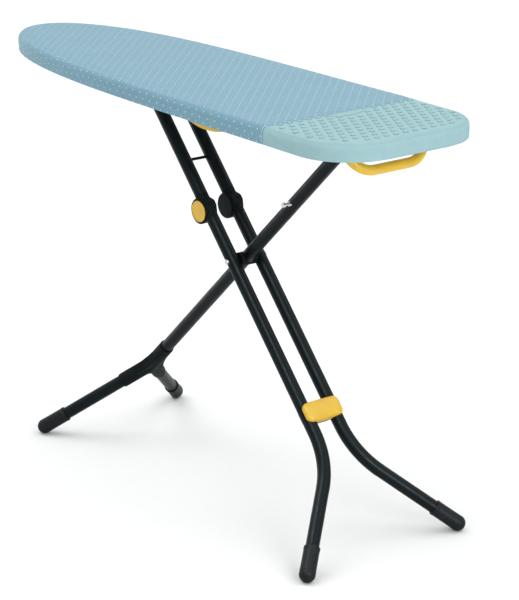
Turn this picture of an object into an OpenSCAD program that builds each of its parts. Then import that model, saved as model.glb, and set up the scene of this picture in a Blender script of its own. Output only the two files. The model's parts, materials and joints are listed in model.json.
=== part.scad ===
// Ironing board on crossed folding legs, drawn standing at its full height.
// +X points to the square heel, +Y to the right-hand side seen from the nose, +Z up.
// The origin is on the floor under the middle of the board. All sizes are in millimetres.

/* [Board] */
// Length of the board
board_l = 1300; // [1260:5:1340]
// Width of the board at its widest
board_w = 382; // [370:2:400]
// Height of the ironing surface above the floor
board_h = 870; // [850:5:890]
// Depth of the cover's side skirt
skirt_h = 34; // [34:1:40]
// Rounding of the cover's top edge
edge_r = 11; // [9:0.5:12]
// Corner radius at the heel
heel_r = 116; // [90:2:130]
// Start of the iron rest, from the middle of the board
seam_x = 427; // [415:1:440]

/* [Frame] */
// Depth of the sheet steel rim under the mesh
rim_h = 20; // [16:1:21]
// Width of the rim
rim_w = 13; // [10:1:16]
// Thickness of the perforated top
mesh_t = 1.2; // [0.8:0.1:1.4]
// Width of each cross rib
rib_w = 24; // [18:1:26]

/* [Legs] */
// Depth of the leg pivots below the ironing surface
pivot_drop = 42; // [41:0.5:43]
// Angle of the rear legs below the board
rear_angle = 47.5; // [47:0.1:48]
// Angle of the front leg below the board
front_angle = 43.8; // [43.4:0.1:44.2]
// Sliding pivot, from the middle towards the nose
slide_x = 170; // [168:1:172]
// Fixed pivot, from the middle towards the heel
front_x = 463.5; // [462:0.5:465]
// Outer radius of the rear tubes
rear_r = 13.75; // [13:0.05:14]
// Outer radius of the front tubes
front_r = 13.5; // [13:0.05:13.6]
// Wall of every tube
tube_wall = 1.5; // [1:0.1:2]
// Half the distance between the two rear tubes
pair_y = 34; // [34:0.5:35]
// Splay of every foot away from its leg's line
splay = 38.6; // [37:0.1:40]
// Radius of the bend in the rear tubes
bend_r = 183; // [175:1:190]
// Start of the rear bend, along the leg
bend_u = 835; // [833:1:840]
// Meeting point of the front branches, along the leg
fork_u = 946; // [940:1:952]

/* [Feet] */
// Outer radius of each foot cap
foot_r = 16.5; // [16.2:0.1:18]
// Length of a foot cap, up to the middle of its round end
foot_l = 59; // [50:1:70]

/* [Knuckles] */
// Position of the knuckle hinge, along the rear leg
knuckle_u = 309.5; // [300:0.5:315]
// Offset of the knuckle hinge from the tube, towards the nose
knuckle_w = 14; // [13.8:0.1:15]
// Radius of a knuckle disc
knuckle_r = 27; // [26.5:0.5:28]
// Travel of a knuckle button
button_travel = 3; // [2:0.5:3]

/* [Handle and lever] */
// Half the width of the carry handle, between its bar's middle lines
handle_y = 97; // [90:1:98]
// Radius of the handle's bar
handle_r = 10; // [9:0.5:10.5]
// Depth of the handle's underside below the ironing surface
handle_drop = 84.8; // [82:0.2:85]
// Lean of the handle's loop, towards the middle of the board as it rises
handle_lean = 30; // [26:1:32]
// Distance of the handle from the middle of the board
handle_x = 574; // [570:1:578]
// Depth of the lever's lowest point below the ironing surface
lever_drop = 55; // [50:1:58]

/* [Hidden] */
$fn = 48;
fit = 0.05;             // radial clearance of a running fit
gap = 0.35;             // clearance between parts that move past each other
long = 2000;            // longer than anything that is cut
wide_x = 521;           // where the board reaches its full width
nose_pow = 4.75;        // how long the sides stay straight
tip_pow = 2.02;         // how round the nose is
outline_steps = 26;
cover_t = 1.5;
pad_top = board_h - cover_t;
mesh_top_z = board_h - edge_r;
rim_top = mesh_top_z - mesh_t;
rib_t = 3.6;
rib_bottom = rim_top - rib_t;
rim_wall = 1.5;
pivot_z = board_h - pivot_drop;
apex = 180 - rear_angle - front_angle;
base = front_x + slide_x;
rear_cross_u = base * sin(front_angle) / sin(apex);
front_cross_u = base * sin(rear_angle) / sin(apex);
foot_z = foot_r - 0.5;
rear_foot_u = (pivot_z - foot_z) / sin(rear_angle);
front_foot_u = (pivot_z - foot_z) / sin(front_angle);
bend_end_u = bend_u + bend_r * sin(splay);
bend_end_v = pair_y + bend_r * (1 - cos(splay));
rear_straight = (rear_foot_u - bend_end_u) / cos(splay);
front_branch = (front_foot_u - fork_u) / cos(splay);
cap_bore_end = 8;       // from the foot's centre back to the tube's end
tube_end_u = -14;       // the rear tubes run this far past the sliding pivot
bend_step = 0.15;
axle_r = 4;
pin_r = 4.5;
// Rails and shoes
shoe_l = 30;
shoe_h = 19;
shoe_y0 = 60;
shoe_y1 = 78;
rail_half = 12;         // half the height inside a rail
rail_t = 2;
rail_y0 = 58;
rail_y1 = 82;
rail_x0 = -470;
rail_x1 = -140;
// Lever
rod_y = -100;
rod_z = board_h - 26;
rod_r = 4;
plate_y = -95;
axle_end_y = plate_y + 0.5;
paddle_y = -152;
paddle_t = 12;
paddle_x = 218;
paddle_arc = 198;       // radius of the paddle's lower edge
paddle_half = 78;       // half the paddle's length
paddle_ahead = 12;      // how far the paddle's middle lies towards the nose from its arm
// Carry handle
handle_corner = 55;     // corner radius of the loop, along its bar's middle line
handle_z = board_h - handle_drop + handle_r;
handle_root_x = handle_x - (rib_bottom - handle_z) * tan(handle_lean);
handle_foot_t = 4;
handle_screw_y = 16;    // from a leg of the loop to each of its two screws
rib_x = [-470, -305, -140, 115, 430, 497, handle_root_x];
// Pivot bracket
ear_y = 20;
ear_t = 3;
ear_r = 16;
bracket_t = 3;
bracket_z = rib_bottom - bracket_t;
// Crossing
hub_r = 14.8;
hub_y = pair_y - rear_r - gap;
stud_u = 242.5;         // catch stud, along the front leg
spreader_u = 197.5;     // spreader rod, along the rear leg
spreader_r = 3.2;
// Fork
socket_r = 16.3;
collar_u = 862;
socket_l = 80;          // length of a branch socket, from the fork
branch_in = 36;         // where a branch tube starts inside its socket
main_in = 910;          // where the front tube ends inside the fork
// Clip across the rear pair
clip_u = 797;
clip_l = 42;
clip_w = 90;
clip_top = 21;
// Knuckle layers, measured outwards from the leg's middle plane
kn_in = pair_y - rear_r;
kn_out = kn_in + 28;
cheek_t = 6;
kn_slack = 0.3;
bulge_r = 16.7;
neck = 30;              // half the distance between the two tube ends
spigot = 25;
gear_r = 12.6;
gear_teeth = 6;
gear_in = kn_in + 15;
gear_out = kn_in + 23.3;
cavity_in = kn_in + 10;
button_r = 24;
button_t = 2.5;
recess_y = kn_out - 4.5; // floor of the recess that the button sinks into
button_out = recess_y + 0.8 + button_travel + button_t;

// ---- Board outline ----

// One side of the nose, from its tip to the widest point, drawn in by inset.
function nose_side(inset) = [
    for (i = [0 : outline_steps])
        let (t = 90 * i / outline_steps)
        [wide_x - (wide_x + board_l / 2 - inset) * pow(cos(t), 2 / nose_pow),
         (board_w / 2 - inset) * pow(sin(t), 2 / tip_pow)]
];

// One heel corner, from the long side round to the end.
function heel_corner(inset) = [
    for (a = [90 : -9 : 0])
        [board_l / 2 - heel_r + (heel_r - inset) * cos(a),
         board_w / 2 - heel_r + (heel_r - inset) * sin(a)]
];

function half_outline(inset) = concat(nose_side(inset), heel_corner(inset));
function flipped(points) = [for (i = [len(points) - 1 : -1 : 1]) [points[i][0], -points[i][1]]];
function outline(inset) = concat(half_outline(inset), flipped(half_outline(inset)));

// Half the board's width at a distance x along it.
function half_width(x) =
    x > board_l / 2 - heel_r
        ? board_w / 2 - heel_r + sqrt(pow(heel_r, 2) - pow(x - board_l / 2 + heel_r, 2))
    : x > wide_x ? board_w / 2
    : board_w / 2 * pow(1 - pow((wide_x - x) / (wide_x + board_l / 2), nose_pow), 1 / tip_pow);

module slab(inset, z0, z1) {
    translate([0, 0, z0])
        linear_extrude(z1 - z0)
            polygon(outline(inset));
}

// ---- Shared shapes ----

module rod_along_y(r, y0, y1) {
    translate([0, y0, 0])
        rotate([-90, 0, 0])
            cylinder(h = y1 - y0, r = r);
}

module rod_along_x(r, x0, x1) {
    translate([x0, 0, 0])
        rotate([0, 90, 0])
            cylinder(h = x1 - x0, r = r);
}

module tube_section(r) {
    difference() {
        circle(r);
        circle(r - tube_wall);
    }
}

module tube_along_x(r, length) {
    rotate([0, 90, 0])
        linear_extrude(length)
            tube_section(r);
}

// A plate with round corners, lying flat.
module round_plate(lx, ly, r, h) {
    linear_extrude(h) {
        square([lx - 2 * r, ly], center = true);
        square([lx, ly - 2 * r], center = true);
        for (sx = [-1, 1], sy = [-1, 1])
            translate([sx * (lx / 2 - r), sy * (ly / 2 - r)])
                circle(r);
    }
}

module mirrored(side) {
    if (side < 0)
        mirror([0, 1, 0])
            children();
    else
        children();
}

// Leg frames: X runs down the leg, Y stays across, Z is the leg's outer side.
module on_rear_leg() {
    translate([-slide_x, 0, pivot_z])
        rotate([0, rear_angle, 0])
            children();
}

module on_front_leg() {
    translate([front_x, 0, pivot_z])
        rotate([0, 180 - front_angle, 0])
            children();
}

module above_floor() {
    difference() {
        children();
        translate([-long / 2, -long / 2, -long])
            cube([long, long, long]);
    }
}

// ---- Board ----

// The cover's outside: an upright skirt with a rounded top edge.
module cover_outside() {
    slab(0, board_h - skirt_h, board_h - edge_r);
    for (a = [0, 30, 60])
        slab(edge_r * (1 - cos(a + 15)),
             board_h - edge_r + edge_r * sin(a), board_h - edge_r + edge_r * sin(a + 30));
}

module cover_shell() {
    difference() {
        cover_outside();
        slab(5, mesh_top_z, pad_top);
        slab(cover_t, board_h - skirt_h - 1, mesh_top_z + 0.01);
    }
}

module top_cover() {
    color("#98bece")
        intersection() {
            cover_shell();
            translate([seam_x - long, -long / 2, 0])
                cube([long, long, long]);
        }
}

module iron_rest_cover() {
    color("#b0d3d9")
        intersection() {
            cover_shell();
            translate([seam_x, -long / 2, 0])
                cube([long, long, long]);
        }
}

module pad() {
    color("#d9dad6")
        slab(5, mesh_top_z, pad_top);
}

module mesh_top() {
    pitch_x = 62;
    pitch_y = 54;
    hole_r = 15;
    color("#c9ccce")
        translate([0, 0, rim_top])
            linear_extrude(mesh_t)
                difference() {
                    polygon(outline(2.5));
                    for (i = [-10 : 9], j = [-3 : 3]) {
                        x = (i + 0.5 * (abs(j) % 2)) * pitch_x;
                        y = j * pitch_y;
                        if (x < board_l / 2 - 40 && abs(y) + hole_r + 22 < half_width(x - hole_r))
                            translate([x, y])
                                circle(hole_r);
                    }
                }
}

// A sheet channel, open below, that follows the board's outline.
module rim_frame() {
    outer = 2.5;
    color("#b9bdc0") {
        difference() {
            slab(outer, rim_top - rim_h, rim_top);
            slab(outer + rim_wall, rim_top - rim_h - 1, rim_top - rim_wall);
            slab(outer + rim_w, rim_top - rim_h - 1, rim_top + 1);
        }
        difference() {
            slab(outer + rim_w - rim_wall, rim_top - rim_h, rim_top - rim_wall);
            slab(outer + rim_w, rim_top - rim_h - 1, rim_top);
        }
    }
}

module cross_ribs() {
    rim_inside = 2.5 + rim_w + 0.2;
    color("#b9bdc0")
        for (x = rib_x) {
            reach = half_width(x + (x > wide_x ? rib_w / 2 : -rib_w / 2)) - rim_inside;
            translate([x - rib_w / 2, -reach, rib_bottom])
                cube([rib_w, 2 * reach, rib_t]);
        }
}

// A C-section rail, open towards the middle, hung from the ribs by its web.
module guide_rail(side) {
    depth = rail_y1 - rail_y0;
    length = rail_x1 - rail_x0;
    color("#aeb2b5")
        mirrored(side)
            difference() {
                translate([rail_x0, rail_y0, 0]) {
                    translate([0, depth - rail_t, pivot_z - rail_half - rail_t])
                        cube([length, rail_t, rib_bottom - pivot_z + rail_half + rail_t]);
                    for (z = [pivot_z - rail_half - rail_t, pivot_z + rail_half])
                        translate([0, 0, z])
                            cube([length, depth, rail_t]);
                    translate([0, 6, rib_bottom - rail_t])
                        cube([length, depth - 6, rail_t]);
                }
                if (side < 0)
                    translate([rail_x0 + 12, rail_y1 - rail_t - 1, pivot_z - 7])
                        cube([length - 24, rail_t + 2, 14]);
            }
}

module guide_rail_left() {
    guide_rail(-1);
}

module guide_rail_right() {
    guide_rail(1);
}

module pivot_bracket() {
    x0 = rib_x[4] - rib_w / 2;
    x1 = rib_x[5] + rib_w / 2;
    color("#aeb2b5")
        difference() {
            union() {
                translate([x0, -ear_y - ear_t - 14, bracket_z])
                    cube([x1 - x0, 2 * (ear_y + ear_t + 14), bracket_t]);
                for (side = [-1, 1])
                    mirrored(side)
                        translate([front_x, ear_y, 0]) {
                            translate([-ear_r, 0, pivot_z])
                                cube([2 * ear_r, ear_t, bracket_z - pivot_z]);
                            translate([0, 0, pivot_z])
                                rod_along_y(ear_r, 0, ear_t);
                        }
            }
            translate([front_x, 0, pivot_z])
                rod_along_y(pin_r + fit, -long / 4, long / 4);
            bolt_places()
                cylinder(h = 3 * bracket_t, r = 2.6, center = true);
        }
}

module bolt_places() {
    for (x = [rib_x[4], rib_x[5]], side = [-1, 1])
        translate([x, side * (ear_y + ear_t + 7), bracket_z])
            children();
}

module bracket_bolts() {
    color("#c8cacb")
        bolt_places() {
            translate([0, 0, -3])
                cylinder(h = 3, r = 4.6, $fn = 6);
            cylinder(h = bracket_t, r = 2.5);
        }
}

module front_axle() {
    color("#c8cacb")
        translate([front_x, 0, pivot_z]) {
            rod_along_y(pin_r, -ear_y - ear_t, ear_y + ear_t + 6);
            rod_along_y(pin_r + 3, -ear_y - ear_t - 3, -ear_y - ear_t);
        }
}

module front_axle_nut() {
    color("#c8cacb")
        translate([front_x, ear_y + ear_t, pivot_z])
            rotate([-90, 0, 0])
                difference() {
                    cylinder(h = 5, r = 8, $fn = 6);
                    translate([0, 0, -1])
                        cylinder(h = 7, r = pin_r + fit);
                }
}

// Half of the handle's loop of round bar, in the loop's own plane.
module handle_half() {
    rod_along_y(handle_r, 0, handle_y - handle_corner);
    translate([0, handle_y - handle_corner, handle_corner])
        rotate([0, 90, 0])
            rotate_extrude(angle = 90)
                translate([handle_corner, 0])
                    circle(handle_r);
    translate([0, handle_y, handle_corner])
        cylinder(h = 45, r = handle_r);
}

// A leaning loop hung below the heel, with a flat foot on each end.
module carry_handle() {
    color("#ebbe3c")
        difference() {
            union() {
                translate([handle_x, 0, handle_z])
                    rotate([0, -handle_lean, 0])
                        for (side = [-1, 1])
                            mirrored(side)
                                handle_half();
                for (side = [-1, 1])
                    translate([handle_root_x, side * handle_y, rib_bottom - handle_foot_t])
                        round_plate(rib_w, 2 * handle_screw_y + 14, 8, handle_foot_t);
            }
            translate([-long / 2, -long / 2, rib_bottom])
                cube([long, long, long]);
            handle_screw_places()
                cylinder(h = 20, r = 1.9, center = true);
        }
}

module handle_screw_places() {
    for (side = [-1, 1], out = [-1, 1])
        translate([handle_root_x, side * handle_y + out * handle_screw_y, rib_bottom - handle_foot_t])
            children();
}

module handle_screws() {
    color("#c8cacb")
        handle_screw_places() {
            translate([0, 0, -2])
                cylinder(h = 2, r = 3.4);
            cylinder(h = handle_foot_t, r = 1.85);
        }
}

// ---- Height lever and its lock ----

module lever_bearings() {
    color("#2b2f31")
        for (x = [rib_x[1], rib_x[3]])
            difference() {
                translate([x - 8, rod_y - 7, rod_z - 6])
                    cube([16, 14, rib_bottom - rod_z + 6]);
                translate([x, rod_y, rod_z])
                    rod_along_x(rod_r + fit, -20, 20);
            }
}

module lock_rod() {
    color("#c8cacb")
        translate([0, rod_y, rod_z])
            rod_along_x(rod_r, rail_x0 + 8, paddle_x);
}

// A strip with a row of round notches that the top axle's end can drop into.
module lock_plate() {
    x0 = rail_x0 + 12;
    x1 = -slide_x + 12;
    steps = 8;
    color("#aeb2b5")
        difference() {
            translate([x0, plate_y - 2, board_h - 56])
                cube([x1 - x0, 2, 30]);
            translate([rib_x[1] - 10, plate_y - 3, rod_z - 8])
                cube([20, 4, 20]);
            translate([0, rod_y, rod_z])
                rod_along_x(rod_r + fit, x0 - 1, x1 + 1);
            for (i = [0 : steps - 1])
                translate([-slide_x - i * 36, plate_y, pivot_z])
                    rod_along_y(axle_r + 0.6, -4, 2);
        }
}

// A curved finger paddle on a flat arm.
module height_lever() {
    top = board_h - 31;
    arm_t = 6;
    color("#ebbe3c")
        difference() {
            union() {
                translate([paddle_x - paddle_ahead, paddle_y + paddle_t / 2, 0])
                    rotate([90, 0, 0])
                        linear_extrude(paddle_t)
                            intersection() {
                                translate([0, board_h - lever_drop + paddle_arc])
                                    circle(paddle_arc, $fn = 160);
                                translate([-paddle_half, top - 60])
                                    square([2 * paddle_half, 60]);
                            }
                translate([paddle_x - 22, paddle_y, top - arm_t])
                    cube([44, rod_y - paddle_y, arm_t]);
                translate([paddle_x, rod_y, rod_z])
                    rod_along_x(rod_r + 4, -22, 22);
            }
            translate([0, rod_y, rod_z])
                rod_along_x(rod_r, paddle_x - 30, paddle_x);
        }
}

module lever_spring() {
    wire = 0.8;
    coil = rod_r + 1.6;
    color("#c8cacb")
        for (i = [0 : 5])
            translate([rib_x[3] + 20 + i * (2 * wire + 0.2), rod_y, rod_z])
                rotate([0, 90, 0])
                    rotate_extrude()
                        translate([coil, 0])
                            circle(wire);
}

// ---- Front leg ----

module front_pivot_sleeve() {
    color("#1a2124")
        translate([front_x, 0, pivot_z])
            difference() {
                rod_along_y(10, -ear_y + gap, ear_y - gap);
                rod_along_y(pin_r + fit, -ear_y, ear_y);
            }
}

module front_tube() {
    color("#1a2124")
        on_front_leg()
            difference() {
                translate([5, 0, 0])
                    tube_along_x(front_r, main_in - 5);
                rod_along_y(10 + fit, -20, 20);
                translate([front_cross_u, 0, 0])
                    rod_along_y(axle_r + 0.4, -20, 20);
                translate([stud_u, -10, 0])
                    rod_along_y(2.5 + fit, -10, 0);
            }
}

module catch_stud() {
    color("#d8dadb")
        on_front_leg()
            translate([stud_u, 0, 0]) {
                rod_along_y(2.5, -18, -front_r + tube_wall);
                rod_along_y(5, -18, -front_r);
                rod_along_y(3, -28, -18);
                rod_along_y(5, -33, -28);
            }
}

module crossing_hub() {
    color("#14181a")
        on_front_leg()
            translate([front_cross_u, 0, 0])
                difference() {
                    rod_along_y(hub_r, -hub_y, hub_y);
                    rod_along_x(front_r + fit, -30, 30);
                    rod_along_y(axle_r + fit, -hub_y - 1, hub_y + 1);
                }
}

// The moulded fork: a collar round the leg, two branch sockets and a web with hollow sides.
module leg_fork() {
    web_t = 22;
    color("#14181a")
        on_front_leg()
            difference() {
                union() {
                    rod_along_x(socket_r, collar_u, fork_u);
                    for (side = [-1, 1])
                        translate([fork_u, 0, 0])
                            rotate([0, 0, side * splay])
                                rod_along_x(socket_r, 0, socket_l);
                    translate([fork_u, 0, -web_t / 2])
                        linear_extrude(web_t)
                            fork_plan();
                }
                rod_along_x(front_r + fit, collar_u - 1, main_in);
                for (side = [-1, 1])
                    translate([fork_u, 0, 0])
                        rotate([0, 0, side * splay])
                            rod_along_x(front_r + fit, branch_in, socket_l + 1);
            }
}

// The collar and the branches on the given sides, seen from above.
module fork_arms(sides) {
    half = 11.9;
    translate([collar_u - fork_u + 2, -half])
        square([fork_u - collar_u, 2 * half]);
    for (side = sides)
        rotate(side * splay)
            translate([0, -half])
                square([socket_l - 2, 2 * half]);
}

module filled_corners(r) {
    offset(r = -r)
        offset(r = r)
            children();
}

module fork_plan() {
    crotch_r = 26;
    flank_r = 215;
    filled_corners(crotch_r)
        fork_arms([-1, 1]);
    for (side = [-1, 1])
        filled_corners(flank_r)
            fork_arms([side]);
}

module on_front_branch(side) {
    on_front_leg()
        translate([fork_u, 0, 0])
            rotate([0, 0, side * splay])
                children();
}

module branch_tube(side) {
    color("#1a2124")
        on_front_branch(side)
            translate([branch_in, 0, 0])
                tube_along_x(front_r, front_branch - cap_bore_end - branch_in);
}

module branch_tube_left() {
    branch_tube(-1);
}

module branch_tube_right() {
    branch_tube(1);
}

// A rubber cap with a round end; its X axis runs out to the middle of that end.
module foot_cap(bore_r) {
    difference() {
        union() {
            rod_along_x(foot_r, -foot_l, 0);
            sphere(foot_r);
        }
        rod_along_x(bore_r + fit, -foot_l - 1, -cap_bore_end);
    }
}

module front_foot(side) {
    color("#14181a")
        above_floor()
            on_front_branch(side)
                translate([front_branch, 0, 0])
                    foot_cap(front_r);
}

module front_foot_left() {
    front_foot(-1);
}

module front_foot_right() {
    front_foot(1);
}

// ---- Rear legs ----

module upper_tube(side) {
    color("#1a2124")
        on_rear_leg()
            mirrored(side)
                difference() {
                    translate([tube_end_u, pair_y, 0])
                        tube_along_x(rear_r, knuckle_u - neck - tube_end_u);
                    rod_along_y(axle_r + fit, 0, 80);
                    translate([spreader_u, 0, 0])
                        rod_along_y(spreader_r + fit, 0, pair_y);
                }
}

module upper_tube_left() {
    upper_tube(-1);
}

module upper_tube_right() {
    upper_tube(1);
}

// A round bar along one rear leg, from start_u round the bend to its foot. The bend's end is a
// little fuller than the straight that follows it.
module bent_bar(r, start_u, extra) {
    translate([start_u - extra, pair_y, 0])
        rod_along_x(r, 0, bend_u - start_u + extra);
    translate([bend_u, pair_y + bend_r, 0])
        rotate([0, 0, -90])
            rotate_extrude(angle = splay)
                translate([bend_r, 0])
                    circle(r);
    translate([bend_end_u, bend_end_v, 0])
        rotate([0, 0, splay])
            rod_along_x(r - bend_step, -3, rear_straight - cap_bore_end + extra);
}

module lower_tube(side) {
    start_u = knuckle_u + neck;
    color("#1a2124")
        on_rear_leg()
            mirrored(side)
                difference() {
                    bent_bar(rear_r, start_u, 0);
                    bent_bar(rear_r - tube_wall, start_u, 1);
                    translate([rear_cross_u, 0, 0])
                        rod_along_y(axle_r + fit, 0, 80);
                }
}

module lower_tube_left() {
    lower_tube(-1);
}

module lower_tube_right() {
    lower_tube(1);
}

module tube_plugs() {
    inner = rear_r - tube_wall;
    color("#14181a")
        on_rear_leg()
            for (side = [-1, 1])
                translate([tube_end_u, side * pair_y, 0]) {
                    rod_along_x(rear_r, -2, 0);
                    rod_along_x(inner, 0, 8);
                }
}

module rear_foot(side) {
    color("#14181a")
        above_floor()
            on_rear_leg()
                mirrored(side)
                    translate([bend_end_u, bend_end_v, 0])
                        rotate([0, 0, splay])
                            translate([rear_straight, 0, 0])
                                foot_cap(rear_r);
}

module rear_foot_left() {
    rear_foot(-1);
}

module rear_foot_right() {
    rear_foot(1);
}

module spreader_rod() {
    reach = pair_y - rear_r + tube_wall;
    color("#1a2124")
        on_rear_leg()
            translate([spreader_u, 0, 0])
                rod_along_y(spreader_r, -reach, reach);
}

// ---- Knuckles ----

// The knuckle's frame: its origin is on the hinge axis, in the middle plane of the pair.
module on_knuckle(side) {
    on_rear_leg()
        mirrored(side)
            translate([knuckle_u, 0, -knuckle_w])
                children();
}

// The half that one tube plugs into; way is -1 for the upper half and 1 for the lower.
module knuckle_socket(way) {
    inset = 0.7;
    translate([0, 0, knuckle_w])
        mirror([way < 0 ? 1 : 0, 0, 0])
            difference() {
                union() {
                    rod_along_y(bulge_r, kn_in + inset, kn_out - inset);
                    translate([0, pair_y, 0]) {
                        rod_along_x(rear_r - 0.1, 0, neck);
                        rod_along_x(rear_r - tube_wall - fit, 0, neck + spigot);
                    }
                }
                translate([kn_slack / 2 - 60, 0, -60])
                    cube([60, 120, 120]);
            }
}

// The star-shaped hole that the lock gear fills.
module gear_plan(extra) {
    circle(gear_r - 3 + extra);
    for (i = [0 : gear_teeth - 1])
        rotate(i * 360 / gear_teeth)
            translate([0, -2.4 - extra])
                square([gear_r + extra, 4.8 + 2 * extra]);
}

module along_y(y0, y1) {
    translate([0, y0, 0])
        rotate([-90, 0, 0])
            linear_extrude(y1 - y0)
                children();
}

module knuckle_upper(side) {
    color("#14181a")
        on_knuckle(side)
            difference() {
                union() {
                    difference() {
                        knuckle_socket(-1);
                        rod_along_y(knuckle_r + kn_slack, kn_in + cheek_t, kn_out - cheek_t);
                    }
                    rod_along_y(knuckle_r, kn_in, kn_in + cheek_t);
                    rod_along_y(knuckle_r, kn_out - cheek_t, kn_out);
                }
                rod_along_y(axle_r, kn_in - 1, kn_in + cheek_t + 1);
                along_y(kn_out - cheek_t - 1, kn_out)
                    gear_plan(0.3);
                rod_along_y(button_r + 0.4, recess_y, kn_out + 10);
            }
}

// The lower half: its tongue turns between the cheeks of the upper half.
module knuckle_lower(side) {
    tongue_in = kn_in + cheek_t + kn_slack;
    tongue_out = kn_out - cheek_t - kn_slack;
    color("#1a1f22")
        on_knuckle(side)
            difference() {
                union() {
                    knuckle_socket(1);
                    rod_along_y(knuckle_r - kn_slack, tongue_in, tongue_out);
                }
                rod_along_y(knuckle_r + kn_slack, kn_in - 10, tongue_in);
                rod_along_y(knuckle_r + kn_slack, tongue_out, kn_out + 10);
                rod_along_y(axle_r + fit, kn_in, kn_out);
                along_y(cavity_in, tongue_out + 2)
                    gear_plan(0.3);
            }
}

module knuckle_pin(side) {
    color("#c8cacb")
        on_knuckle(side)
            rod_along_y(axle_r, kn_in, kn_in + 19.5);
}

module lock_spring(side) {
    wire = 0.6;
    turns = 4;
    color("#c8cacb")
        on_knuckle(side)
            for (i = [0 : turns - 1])
                translate([0, cavity_in + wire + i * 2.6, 0])
                    rotate([-90, 0, 0])
                        rotate_extrude()
                            translate([axle_r + 1.6, 0])
                                circle(wire);
}

module lock_gear(side) {
    color("#8d9295")
        on_knuckle(side)
            difference() {
                along_y(gear_in, gear_out)
                    gear_plan(0);
                rod_along_y(axle_r + fit, gear_in - 1, gear_out + 1);
                rod_along_y(axle_r + 2.8, gear_in - 1, gear_in + 5);
            }
}

module button(side) {
    color("#ebbe3c")
        on_knuckle(side) {
            rod_along_y(button_r, button_out - button_t, button_out);
            rod_along_y(7, gear_out, button_out - button_t);
        }
}

module knuckle_upper_left() {
    knuckle_upper(-1);
}

module knuckle_upper_right() {
    knuckle_upper(1);
}

module knuckle_lower_left() {
    knuckle_lower(-1);
}

module knuckle_lower_right() {
    knuckle_lower(1);
}

module knuckle_pin_left() {
    knuckle_pin(-1);
}

module knuckle_pin_right() {
    knuckle_pin(1);
}

module lock_spring_left() {
    lock_spring(-1);
}

module lock_spring_right() {
    lock_spring(1);
}

module lock_gear_left() {
    lock_gear(-1);
}

module lock_gear_right() {
    lock_gear(1);
}

module button_left() {
    button(-1);
}

module button_right() {
    button(1);
}

// ---- Clip across the rear pair ----

module tube_grooves() {
    for (side = [-1, 1])
        translate([clip_u, side * pair_y, 0])
            rod_along_x(rear_r + fit, -clip_l, clip_l);
}

module clip_screw_places() {
    for (way = [-1, 1])
        translate([clip_u + way * 10, 0, 0])
            children();
}

module clip_front() {
    color("#ebbe3c")
        on_rear_leg()
            difference() {
                translate([clip_u, 0, 0])
                    hull() {
                        translate([0, 0, 1])
                            round_plate(clip_l, clip_w, 12, clip_top - 8);
                        translate([0, 0, clip_top - 5])
                            round_plate(clip_l - 4, clip_w - 4, 10, 2);
                        translate([0, 0, clip_top - 1])
                            round_plate(clip_l - 16, clip_w - 18, 8, 1);
                    }
                tube_grooves();
                clip_screw_places()
                    translate([0, 0, -1])
                        cylinder(h = 13, r = 1.5);
            }
}

module clip_back() {
    color("#1a1f22")
        on_rear_leg()
            difference() {
                translate([clip_u, 0, -17])
                    round_plate(clip_l - 6, 84, 8, 16.8);
                tube_grooves();
                clip_screw_places()
                    translate([0, 0, -20])
                        cylinder(h = 30, r = 1.7);
                clip_screw_places()
                    translate([0, 0, -20])
                        cylinder(h = 6, r = 3.4);
            }
}

module clip_screws() {
    color("#c8cacb")
        on_rear_leg()
            clip_screw_places() {
                translate([0, 0, -16])
                    cylinder(h = 2, r = 3.2);
                translate([0, 0, -14])
                    cylinder(h = 24, r = 1.45);
            }
}

// ---- Axles and shoes ----

module cross_axle() {
    reach = pair_y + rear_r;
    color("#d8dadb")
        on_rear_leg()
            translate([rear_cross_u, 0, 0]) {
                rod_along_y(axle_r, -reach, reach + 1.4);
                rod_along_y(axle_r + 2, -reach - 2.5, -reach);
                rod_along_y(axle_r, -reach - 4, -reach - 2.5);
            }
}

// A thin push-on ring that holds the axle's plain end.
module cross_axle_ring() {
    reach = pair_y + rear_r;
    color("#d8dadb")
        on_rear_leg()
            translate([rear_cross_u, 0, 0])
                difference() {
                    rod_along_y(axle_r + 1.6, reach, reach + 1.2);
                    rod_along_y(axle_r + fit, reach - 1, reach + 2);
                }
}

module top_axle() {
    color("#c8cacb")
        translate([-slide_x, 0, pivot_z])
            rod_along_y(axle_r, axle_end_y, shoe_y1 + 1.5);
}

module axle_washers() {
    color("#c8cacb")
        translate([-slide_x, 0, pivot_z])
            for (side = [-1, 1])
                mirrored(side)
                    difference() {
                        rod_along_y(8, pair_y + rear_r + 0.3, pair_y + rear_r + 1.8);
                        rod_along_y(axle_r + fit, pair_y, 70);
                    }
}

module shoe(side) {
    color("#e8e9e6")
        mirrored(side)
            translate([-slide_x, 0, pivot_z])
                difference() {
                    translate([-shoe_l / 2, shoe_y0, -shoe_h / 2])
                        cube([shoe_l, shoe_y1 - shoe_y0, shoe_h]);
                    rod_along_y(axle_r + fit, shoe_y0 - 1, shoe_y1 + 1);
                }
}

module shoe_left() {
    shoe(-1);
}

module shoe_right() {
    shoe(1);
}

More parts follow.
